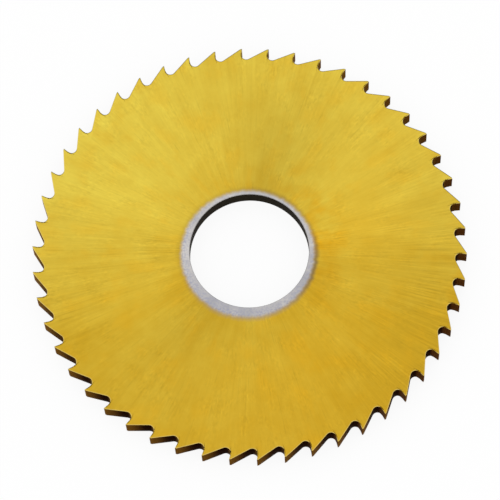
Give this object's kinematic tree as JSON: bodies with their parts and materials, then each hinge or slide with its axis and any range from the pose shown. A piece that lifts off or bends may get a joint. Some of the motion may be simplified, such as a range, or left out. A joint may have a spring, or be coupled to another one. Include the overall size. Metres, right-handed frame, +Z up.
{
  "type": "slitting saw",
  "caption": "Thin round steel saw with a plain arbor bore, hollow-ground sides and straight-backed rim teeth, for cutting narrow slots in metal on a milling arbor.",
  "frame": {"origin": "on the bore's axis, in the plane of the lower tooth corners that the saw lies on", "axes": "+Z up along the bore's axis, +X through a tooth tip; seen from +Z the rake faces look clockwise"},
  "size_m": [0.08, 0.0798, 0.004],
  "materials": {
    "coated_steel": "gold nitride coating over radially ground high-speed steel, bare round the bore"
  },
  "bodies": {
    "root": {"saw_blade": "coated_steel"}
  },
  "joints": []
}
